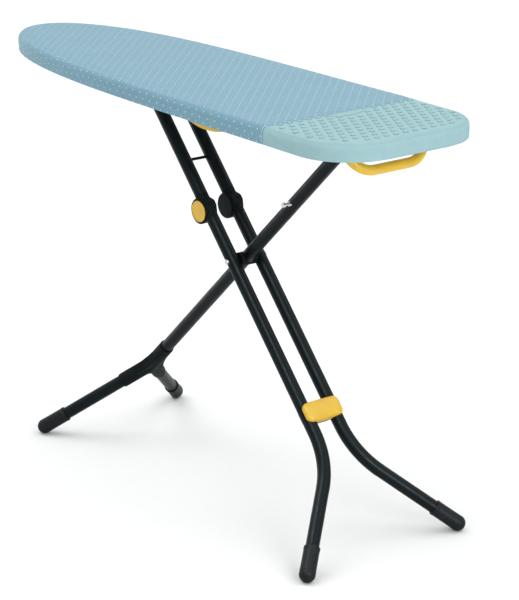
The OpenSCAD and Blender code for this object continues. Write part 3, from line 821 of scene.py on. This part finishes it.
def hem_channel(name, start, end):
    """The stuffed channel at the turned-in edge, where the drawcord runs."""
    inward, down = PROFILE[-1]
    values = stations(start, end, HEM_CORD_STEP)
    half = [rim_point(s, 1, inward, down - HEM_CORD_RISE, 1.0) for s in values]
    mirrored = [Vector((p.x, -p.y, p.z)) for p in half]
    if end > ARC_END - TINY:
        x, reach, z = half[-1]
        across = [Vector((x, y, z)) for y in np.linspace(reach, -reach, 40)]
        points = half + across[1:-1] + list(reversed(mirrored))
    else:
        points = list(reversed(mirrored)) + half[1:]
    return tube_along(name, points, HEM_CORD_R, sides=10)


def with_painted_shade(obj, tones):
    """Keeps each point's strength of painted shade for the coated cloth: shade painted round the studs, along the
    strip border and in a band below the top edge.
    """
    obj.data.attributes.new("groove", "FLOAT", "POINT").data.foreach_set("value", tones)
    return obj


# Painted shade in a band just below the iron rest's top edge, where its rounding turns from the light, and faintly
# in the seam's dip: strength, depth of the band, spread.
EDGE_SHADE = 0.4
EDGE_SHADE_DROP, EDGE_SHADE_SPREAD = 0.0025, 0.0018

SEAM_ARC = arc_at_x(SEAM_X)
cover = thickened(settled(cloth_part("cover", 0.0, SEAM_ARC)), CLOTH_T)
rest = thickened(settled(cloth_part("iron_rest", SEAM_ARC, ARC_END)), CLOTH_T)
# painted shade, darkest a little below the rest's top
rest_drop = TOP_Z - np.array([v.co.z for v in rest.data.vertices])
with_painted_shade(rest, EDGE_SHADE * np.exp(-(((rest_drop - EDGE_SHADE_DROP) / EDGE_SHADE_SPREAD) ** 2)))
dress(cover, "cover_fabric", "board", "top_cover")
dress(rest, "iron_rest", "board", "iron_rest_cover")
dress(hem_channel("cover_hem", 0.0, SEAM_ARC - HEM_CORD_GAP), "cover_fabric", "board")
dress(hem_channel("rest_hem", SEAM_ARC + HEM_CORD_GAP, ARC_END), "iron_rest", "board")

# ---- Iron rest details ----

MARK_X = SEAM_X + 0.010
MARK_STEP = 0.0202
MARK_PITCH = 0.0229
MARK_R = 0.0053
MARK_H = 0.0017
MARK_MARGIN = 0.0205
MARK_ROWS, MARK_COLUMNS = 10, 14  # rows from the seam, columns either side of the middle
MARK_TURNS = 24
MARK_LOBES = 0.13
MARK_DISH = 0.00045
MARK_SHIFT = 0.0033  # of the lattice, across the board
BORDER_R = 0.0012
BORDER_INSET, BORDER_LIFT = 0.004, 0.0001
STRIP_HALF = 0.053
STRIP_DEPTH = 0.031
STRIP_R = (STRIP_HALF**2 + STRIP_DEPTH**2) / (2 * STRIP_DEPTH)
STRIP_CENTRE = Vector((SEAM_X + STRIP_DEPTH - STRIP_R, 0.0))


def from_edge(x, y):
    """How far a point lies inside the board's outline, or 0 outside it."""
    if not NOSE_X < x < HEEL_X or abs(y) > np.interp(x, OUTLINE[:, 0], OUTLINE[:, 1]):
        return 0.0
    nearest = np.min(np.hypot(EDGE_POINTS[:, 0] - x, EDGE_POINTS[:, 1] - abs(y)))
    return min(HEEL_X - x, float(nearest))


REST_SURFACE = BVHTree.FromPolygons(
    [v.co.copy() for v in rest.data.vertices], [tuple(p.vertices) for p in rest.data.polygons]
)


def rest_height(x, y):
    """The settled height of the iron rest's top."""
    hit = REST_SURFACE.ray_cast(Vector((x, y, TOP_Z + 0.05)), Vector((0, 0, -1)))[0]
    return hit.z if hit else top_height(x, y)


def mark_places():
    for i in range(MARK_ROWS):
        x = MARK_X + i * MARK_STEP
        for k in range(-MARK_COLUMNS, MARK_COLUMNS + 1):
            y = MARK_SHIFT + k * MARK_PITCH - (i % 2) * MARK_PITCH / 2
            off_strip = (Vector((x, y)) - STRIP_CENTRE).length > STRIP_R + MARK_R
            if off_strip and from_edge(x, y) > MARK_MARGIN:
                yield x, y


def raised_marks():
    """Rounded three-cornered studs with a shallow dish, in a staggered lattice, with shade painted round their
    feet.
    """
    profile = [  # share of the radius, height, strength of the shade painted round the stud's foot
        (1.16, -0.0003, 0.0),
        (1.1, 0.0001, 0.7),
        (1.0, 0.0005, 1.0),
        (0.93, 0.0012, 0.85),
        (0.84, MARK_H, 0.3),
        (0.6, MARK_H - 0.0001, 0.0),
        (0.25, MARK_H - 0.0004, 0.0),
    ]
    turns = MARK_TURNS
    vertices, faces, tones = [], [], []
    for x, y in mark_places():
        first = len(vertices)
        z = rest_height(x, y)
        for share, height, tone in profile:
            tones += [tone] * turns
            for k in range(turns):
                a = 2 * math.pi * k / turns
                r = MARK_R * share * (1 - MARK_LOBES * math.cos(3 * a))
                vertices.append((x + r * math.cos(a), y + r * math.sin(a), z + height))
        vertices.append((x, y, z + MARK_H - MARK_DISH))
        tones.append(0.0)
        for ring in range(len(profile) - 1):
            for k in range(turns):
                a, b = first + ring * turns + k, first + ring * turns + (k + 1) % turns
                faces.append((a, b, b + turns, a + turns))
        last = first + (len(profile) - 1) * turns
        for k in range(turns):
            faces.append((last + k, last + (k + 1) % turns, len(vertices) - 1))
        faces.append(tuple(first + k for k in reversed(range(turns))))
    return with_painted_shade(new_object("raised_marks", vertices, faces), tones)


def strip_border():
    """The fine raised line round the plain strip at the middle of the seam, with shade painted along its foot."""
    reach = math.asin((STRIP_HALF - BORDER_INSET) / STRIP_R)
    points = []
    for a in np.linspace(-reach, reach, 40):
        x, y = STRIP_CENTRE.x + STRIP_R * math.cos(a), STRIP_R * math.sin(a)
        points.append((x, y, rest_height(x, y) + BORDER_LIFT))
    obj = tube_along("strip_border", points, BORDER_R, sides=12)
    rise = np.array([v.co.z - rest_height(v.co.x, v.co.y) for v in obj.data.vertices])
    # painted shade: the line darkens towards its foot, where it meets the cloth
    return with_painted_shade(obj, np.clip(1.1 - rise / BORDER_R, 0.0, 1.0))


STITCH_INSET = 0.0034
STITCH_PITCH, STITCH_L = 0.0036, 0.0024
EDGE_THREAD_R, TOP_THREAD_R = 0.00032, 0.00026


def seam_path(x):
    """The line that the cover's surface makes across the board at x, from hem to hem."""
    s = arc_at_x(x)
    here, normal = at_arc(s)
    reach = (here - normal * EDGE_R)[1]
    side = [rim_point(s, 1, inward, down, 0.0) for inward, down in PROFILE[:SIDE_STEPS]]
    top = [Vector((x, y, top_height(x, y))) for y in np.linspace(reach, -reach, 60)]
    mirrored = [Vector((p.x, -p.y, p.z)) for p in side]
    return list(reversed(side)) + top + mirrored


def stitches(name, path, radius):
    """Short rounded threads that follow a path."""
    points = np.array([tuple(p) for p in path])
    arc = np.r_[0, np.cumsum(np.linalg.norm(np.diff(points, axis=0), axis=1))]
    parts = []
    for start in np.arange(STITCH_PITCH / 2, arc[-1] - STITCH_PITCH, STITCH_PITCH):
        along = np.linspace(start, start + STITCH_L, 5)
        line = [Vector([np.interp(v, arc, points[:, k]) for k in range(3)]) for v in along]
        parts.append(tube_along("thread", line, radius, sides=6))
    made = joined(name, parts)
    smooth_all(made)
    return made


dress(raised_marks(), "iron_rest", "board")
dress(strip_border(), "iron_rest", "board")
seam_line = seam_path(SEAM_X - STITCH_INSET)
edge_line = seam_line[:SIDE_STEPS]
edge_threads = [
    stitches("edge_thread", [(p.x, side * p.y, p.z) for p in edge_line], EDGE_THREAD_R)
    for side in (1, -1)
]
dress(joined("edge_stitches", edge_threads), "shoe_nylon", "board")
top_line = seam_line[SIDE_STEPS:-SIDE_STEPS]
dress(stitches("top_stitches", top_line, TOP_THREAD_R), "iron_rest", "board")

# ---- Pad and metal deck ----

PAD_INSET = 0.0065
PAD_TOP = TOP_Z - 0.0032
PAD_FOOT = PAD_LOW_Z + 0.0003
PAD_STEP, PAD_COLUMNS = 0.012, 36
PAD_ROUND, PAD_ROUND_POWER = 0.0016, 30
PAD_RIPPLE = 0.0004
LEAST_HALF_W = 0.0004  # of a row, at the nose's tip


def rows_inside(inset, step, columns):
    """Rows of points across the board, inset from its outline."""
    for s in stations(0.0, ARC_END, step):
        here, normal = at_arc(s)
        x, y = here - normal * inset
        yield x, max(y, LEAST_HALF_W), [-1 + 2 * k / columns for k in range(columns + 1)]


def pad_solid():
    """Needled felt, cut to the board's shape, a little uneven and rounded at its edge."""
    top_rows, bottom_rows, vertices, faces = [], [], [], []
    for x, y, shares in rows_inside(PAD_INSET, PAD_STEP, PAD_COLUMNS):
        top_row, bottom_row = [], []
        for t in shares:
            point = (x, t * y)
            ripple = PAD_RIPPLE * math.sin(90 * point[0]) * math.sin(80 * point[1] + 1)
            rounded = PAD_ROUND * abs(t) ** PAD_ROUND_POWER
            top_row.append(len(vertices))
            vertices.append((*point, PAD_TOP + ripple - rounded))
            bottom_row.append(len(vertices))
            vertices.append((*point, PAD_FOOT + rounded / 2))
        top_rows.append(top_row)
        bottom_rows.append(bottom_row)
    for rows, flip in ((top_rows, False), (bottom_rows, True)):
        for one, two in zip(rows, rows[1:]):
            for k in range(PAD_COLUMNS):
                face = (one[k], two[k], two[k + 1], one[k + 1])
                faces.append(tuple(reversed(face)) if flip else face)
    left = [(t[0], b[0]) for t, b in zip(top_rows, bottom_rows)]
    right = [(t[-1], b[-1]) for t, b in zip(top_rows, bottom_rows)]
    first = list(zip(top_rows[0], bottom_rows[0]))
    last = list(zip(top_rows[-1], bottom_rows[-1]))
    wall = list(reversed(left)) + first[1:-1] + right + list(reversed(last[1:-1]))
    for (t0, b0), (t1, b1) in zip(wall, wall[1:] + wall[:1]):
        faces.append((t0, t1, b1, b0))
    obj = new_object("felt_pad", vertices, faces)
    face_up(obj)
    return obj


CELL_X = 0.0115
CELL_Y = 0.0068
STRAND = 0.0015
DECK_T = 0.0008
DECK_Z = DECK_HIGH_Z - 0.0002
NET_MARGIN = 0.012
BORDER_STEP, BORDER_OUT, BORDER_IN = 0.012, 0.003, 0.017


def expanded_deck():
    """Slit and stretched sheet steel: a flat border and a net of diamonds."""
    shape = bmesh.new()
    inner = 1 - STRAND / (CELL_X * CELL_Y / math.hypot(CELL_X, CELL_Y))
    corners = ((CELL_X, 0), (0, CELL_Y), (-CELL_X, 0), (0, -CELL_Y))
    for i in range(round(NOSE_X / CELL_X), round(HEEL_X / CELL_X) + 1):
        for j in range(-round(HALF_W / CELL_Y), round(HALF_W / CELL_Y) + 1):
            x, y = i * CELL_X, j * CELL_Y
            if (i + j) % 2 or from_edge(x, y) < NET_MARGIN:
                continue
            outer, hole = (
                [shape.verts.new((x + share * a, y + share * b, DECK_Z)) for a, b in corners]
                for share in (1, inner)
            )
            for k in range(4):
                m = (k + 1) % 4
                shape.faces.new((outer[k], outer[m], hole[m], hole[k]))
    bmesh.ops.remove_doubles(shape, verts=shape.verts, dist=1e-5)
    mesh = bpy.data.meshes.new("net")
    shape.to_mesh(mesh)
    shape.free()
    net = linked("net", mesh)

    loop = [at_arc(s) for s in stations(0.0, ARC_END, BORDER_STEP)]
    loop += [(p * (1, -1), n * (1, -1)) for p, n in reversed(loop[1:])]
    vertices, faces = [], []
    for p, n in loop:
        for inset in (BORDER_OUT, BORDER_IN):
            vertices.append((*(p - n * inset), DECK_Z - 0.0001))
    for k in range(len(loop)):
        m = (k + 1) % len(loop)
        faces.append((2 * k, 2 * m, 2 * m + 1, 2 * k + 1))
    border = new_object("border", vertices, faces)
    for obj in (net, border):
        solid = obj.modifiers.new("sheet", "SOLIDIFY")
        solid.thickness = DECK_T
        solid.offset = -1.0
        face_up(obj)
        finished(obj)
    return joined("expanded_deck", [net, border])


pad = dress(pad_solid(), "felt_pad", "board", "pad")
dress(expanded_deck(), "frame_steel", "board", "mesh_top")

# ---- Mouldings ----

MOULDINGS = (
    # name, CAD node, voxel, smoothing passes, swelling
    ("fork", "leg_fork", 0.0016, 9, 0.0),
    ("handle", "carry_handle", 0.0013, 5, 0.0),
    ("lever", "height_lever", 0.0010, 5, 0.0),
    ("clip", "clip_front", 0.0012, 30, 0.0009),
    ("clip_rear_shell", "clip_back", 0.0010, 3, 0.0),
    ("bearings", "lever_bearings", 0.0008, 2, 0.0),
    ("knuckle_top_left", "knuckle_upper_left", 0.0009, 3, 0.0),
    ("knuckle_top_right", "knuckle_upper_right", 0.0009, 3, 0.0),
    ("knuckle_bottom_left", "knuckle_lower_left", 0.0009, 3, 0.0),
    ("knuckle_bottom_right", "knuckle_lower_right", 0.0009, 3, 0.0),
)
for name, node, voxel, passes, swell in MOULDINGS:
    dress(moulded(name, node, voxel, passes, swell), slot_of[node], body_of_node[node], node)


SHELL_DEPTH, SHELL_END_DEPTH = 0.0172, 0.0128
SHELL_PLAIN_Y, SHELL_END_Y = 0.018, 0.029


def slim_ends(shell):
    """Draws the ends of the clip's rear shell in, so that they stay hidden behind the tubes."""
    back = REAR.inverted()
    for v in shell.data.vertices:
        p = back @ v.co
        t = min(max((abs(p.y) - SHELL_PLAIN_Y) / (SHELL_END_Y - SHELL_PLAIN_Y), 0.0), 1.0)
        deepest = -SHELL_DEPTH + (SHELL_DEPTH - SHELL_END_DEPTH) * t * t * (3 - 2 * t)
        p.z = max(p.z, deepest)
        v.co = REAR @ p


slim_ends(bpy.data.objects["clip_rear_shell"])

# ---- Caps over the inner ends of the knuckle pins ----

CAP_R = 0.0252
CAP_T = 0.0015
DISC_TURNS = 72


def across_knuckle(low, high):
    """Axes for a round part of a knuckle whose box is given: X runs outwards from the middle."""
    middle = (low + high) / 2
    way = math.copysign(1.0, middle.y)
    down, outer = REAR.col[0].xyz, REAR.col[2].xyz
    return axes_at((middle.x, 0, middle.z), ACROSS * way, down, outer * -way)


def pin_cap(side):
    low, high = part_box(f"knuckle_pin_{side}")
    inner = min(abs(low.y), abs(high.y))
    face = inner - CAP_T
    profile = [
        (inner + 0.0002, 0.0),
        (inner + 0.0002, CAP_R),
        (face + 0.0008, CAP_R),
        (face + 0.0002, CAP_R - 0.0005),
        (face, CAP_R - 0.0014),
        (face - 0.0001, CAP_R * 0.8),
        (face - 0.0004, CAP_R * 0.4),
        (face - 0.0005, 0.0),
    ]
    cap = lathe(f"pin_cap_{side}", across_knuckle(low, high), profile, turns=DISC_TURNS)
    return dress(cap, "black_plastic", "rear_leg")


pin_cap("left")
pin_cap("right")

# ---- Foot caps ----

SPLAY = math.radians(38.6)
FOOT_R = 0.0165
FOOT_L = 0.059
FOOT_SINK = 0.0005
FRONT_TUBE_R, REAR_TUBE_R = 0.0135, 0.01375


def foot_profile(tube_r):
    """A rubber cap: thick lip, faint waist, one groove, round end."""
    lip = [
        (-FOOT_L + 0.004, 0.0),
        (-FOOT_L + 0.004, tube_r - 0.001),
        (-FOOT_L, tube_r + 0.0001),
        (-FOOT_L, FOOT_R - 0.0008),
        (-FOOT_L + 0.0006, FOOT_R - 0.0001),
        (-FOOT_L + 0.0045, FOOT_R),
        (-FOOT_L + 0.0055, FOOT_R - 0.0004),
        (-FOOT_L + 0.012, FOOT_R - 0.0005),
        (-0.016, FOOT_R - 0.0004),
        (-0.004, FOOT_R - 0.0001),
        (-0.003, FOOT_R - 0.0001),
        (-0.0022, FOOT_R - 0.0005),
        (-0.0012, FOOT_R - 0.0005),
        (-0.0004, FOOT_R - 0.0001),
    ]
    end = [(FOOT_R * math.sin(a), FOOT_R * math.cos(a)) for a in np.linspace(0, math.pi / 2, 12)]
    return lip + end[:-1] + [(FOOT_R, 0.0)]


def foot_cap(name, node, mount, leg, tube_r):
    centre = mount_at(mount) + Vector((0, 0, FOOT_R - FOOT_SINK))
    side = math.copysign(1.0, centre.y)
    down = leg.col[0].xyz
    along = (down * math.cos(SPLAY) + ACROSS * side * math.sin(SPLAY)).normalized()
    up = along.cross(ACROSS).normalized()
    obj = lathe(name, axes_at(centre, along, up, along.cross(up)), foot_profile(tube_r))
    for v in obj.data.vertices:
        v.co.z = max(v.co.z, 0.0)
    return dress(obj, "foot_rubber", body_of_node[node], node)


for end, leg, tube_r in (("front", FRONT, FRONT_TUBE_R), ("rear", REAR, REAR_TUBE_R)):
    for side in ("left", "right"):
        foot_cap(f"{end}_cap_{side}", f"{end}_foot_{side}", f"{end}_foot_pad_{side}", leg, tube_r)

# ---- Buttons ----

BUTTON_RIM = 0.0015
BUTTON_STEM_R = 0.007


def button_profile(inner, outer, radius):
    lip = radius - 0.0014
    dish = outer - 0.0006
    return [
        (inner, 0.0),
        (inner, BUTTON_STEM_R),
        (outer - 0.0025, BUTTON_STEM_R),
        (outer - 0.0025, radius - 0.0003),
        (outer - 0.0021, radius),
        (outer - 0.0008, radius),
        (outer - 0.0002, radius - 0.0004),
        (outer, radius - 0.0010),
        (outer - 0.0001, lip - 0.0004),
        (dish, lip - 0.0010),
        (dish + 0.0001, radius * 0.7),
        (dish + 0.0004, radius * 0.4),
        (dish + 0.0005, 0.0),
    ]


for side in ("left", "right"):
    low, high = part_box(f"button_{side}")
    near, far = sorted((abs(low.y), abs(high.y)))
    radius = (high.z - low.z) / 2 - BUTTON_RIM
    profile = button_profile(near, far, radius)
    disc = lathe(f"press_button_{side}", across_knuckle(low, high), profile, turns=DISC_TURNS)
    dress(disc, "yellow_plastic", f"button_{side}", f"button_{side}")

# ---- Studio ----

SQUARE = ((-1, -1), (1, -1), (1, 1), (-1, 1))
FLOOR_SIZE = 60.0  # half the side of the square floor
BACKDROP_SIZE = 40.0
SUN_FAR = 6.0  # where a sun's object stands, which its light doesn't depend on
SKY_LOW, SKY_HIGH = 0.58, 0.9  # brightness at the horizon and overhead
SKY_TURN = 0.7  # height on the unit sky where it reaches its full brightness


def studio_floor():
    obj = new_object(
        "floor",
        [(x * FLOOR_SIZE, y * FLOOR_SIZE, 0) for x, y in SQUARE],
        [(0, 1, 2, 3)],
        smooth=False,
    )
    n = Nodes("floor")
    cloud = n.spread(n.noise(40, 2.0), 0.3, 0.7, 0.0, 1.0)
    n.finish(n.mix(cloud, srgb(227, 228, 228), srgb(228, 229, 229)), 0.9, Specular_IOR_Level=0.0)
    obj.data.materials.append(n.material)
    obj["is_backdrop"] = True


def studio_backdrop():
    """Plain white walls beyond the floor, only seen: they light, mirror and shade nothing."""
    corners = [Vector((x, y, z)) * BACKDROP_SIZE for z in (0, 1) for x, y in SQUARE]
    walls = [(i, (i + 1) % 4, 4 + (i + 1) % 4, 4 + i) for i in range(4)]
    obj = new_object("backdrop", corners, walls + [(4, 5, 6, 7)], smooth=False)
    obj.data.materials.append(Nodes("backdrop").finish(
        srgb(0, 0, 0), 1.0, Specular_IOR_Level=0.0, Emission_Color=WHITE, Emission_Strength=1.0
    ))
    obj.visible_diffuse = obj.visible_glossy = False
    obj.visible_transmission = obj.visible_shadow = False
    obj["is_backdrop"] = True


def aimed(name, lamp, place, target):
    obj = linked(name, lamp)
    obj.location = place
    obj.rotation_mode = "QUATERNION"
    obj.rotation_quaternion = (Vector(target) - Vector(place)).to_track_quat("-Z", "Y")
    return obj


SUNS = (
    # name, direction that it shines from, spread in degrees, strength
    ("key", (-0.46, -0.19, 0.87), 45, 1.15),
    ("back", (0.2, 0.5, 0.84), 55, 0.85),
)
PANELS = (
    # name, place, target, size, power, whether it only shows in reflections
    ("heel_light", (3.4, -0.5, 1.5), (0.4, 0, 0.7), 1.8, 36, False),
    ("streak_light", (1.9, -2.1, 3.4), (0.1, 0, 0.45), 0.9, 75, True),
    ("heel_gloss", (3.6, -0.4, 1.6), (0.4, 0, 0.4), 0.9, 60, True),
    ("top_gloss", (-0.5, -1.1, 3.9), (0.5, -0.3, 0.1), 0.9, 55, True),
    ("fill_light", (1.9, -2.4, 2.2), (0.1, 0, 0.45), 1.2, 4, False),
    ("nose_light", (-3.4, -1.0, 0.3), (0.1, 0, 0.45), 0.7, 9, False),
)


def soft_sun(name, towards, spread, strength):
    """A far, broad light that is as bright over the whole floor."""
    lamp = bpy.data.lights.new(name, "SUN")
    lamp.angle = math.radians(spread)
    lamp.energy = strength
    aimed(name, lamp, Vector(towards) * SUN_FAR, (0, 0, 0))


def soft_panel(name, place, target, size, power, gloss_only):
    """A round soft box; one that is gloss_only shows in reflections and lights nothing else."""
    lamp = bpy.data.lights.new(name, "AREA")
    lamp.shape = "DISK"
    lamp.size = size
    lamp.energy = power
    aimed(name, lamp, place, target).visible_diffuse = not gloss_only


def studio():
    studio_floor()
    studio_backdrop()
    world = bpy.data.worlds.new("studio")
    bpy.context.scene.world = world
    world.use_nodes = True
    tree = world.node_tree
    coords = tree.nodes.new("ShaderNodeTexCoord")
    split = tree.nodes.new("ShaderNodeSeparateXYZ")
    rise = tree.nodes.new("ShaderNodeMapRange")
    rise.interpolation_type = "SMOOTHSTEP"
    for key, value in zip(RANGE_INPUTS, (0.0, SKY_TURN, SKY_LOW, SKY_HIGH)):
        rise.inputs[key].default_value = value
    tree.links.new(coords.outputs["Generated"], split.inputs[0])
    tree.links.new(split.outputs["Z"], rise.inputs["Value"])
    background = tree.nodes["Background"]
    background.inputs["Color"].default_value = WHITE
    tree.links.new(rise.outputs["Result"], background.inputs["Strength"])
    for sun in SUNS:
        soft_sun(*sun)
    for panel in PANELS:
        soft_panel(*panel)
    bpy.context.scene.view_settings.view_transform = "Standard"


studio()

# ---- Boxes of the CAD parts and of what is shown ----

SHOWN_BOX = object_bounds()
boxes = {"cad": CAD_BOX, "visual": SHOWN_BOX}
{name: [list(corner) for corner in box] for name, box in boxes.items()}
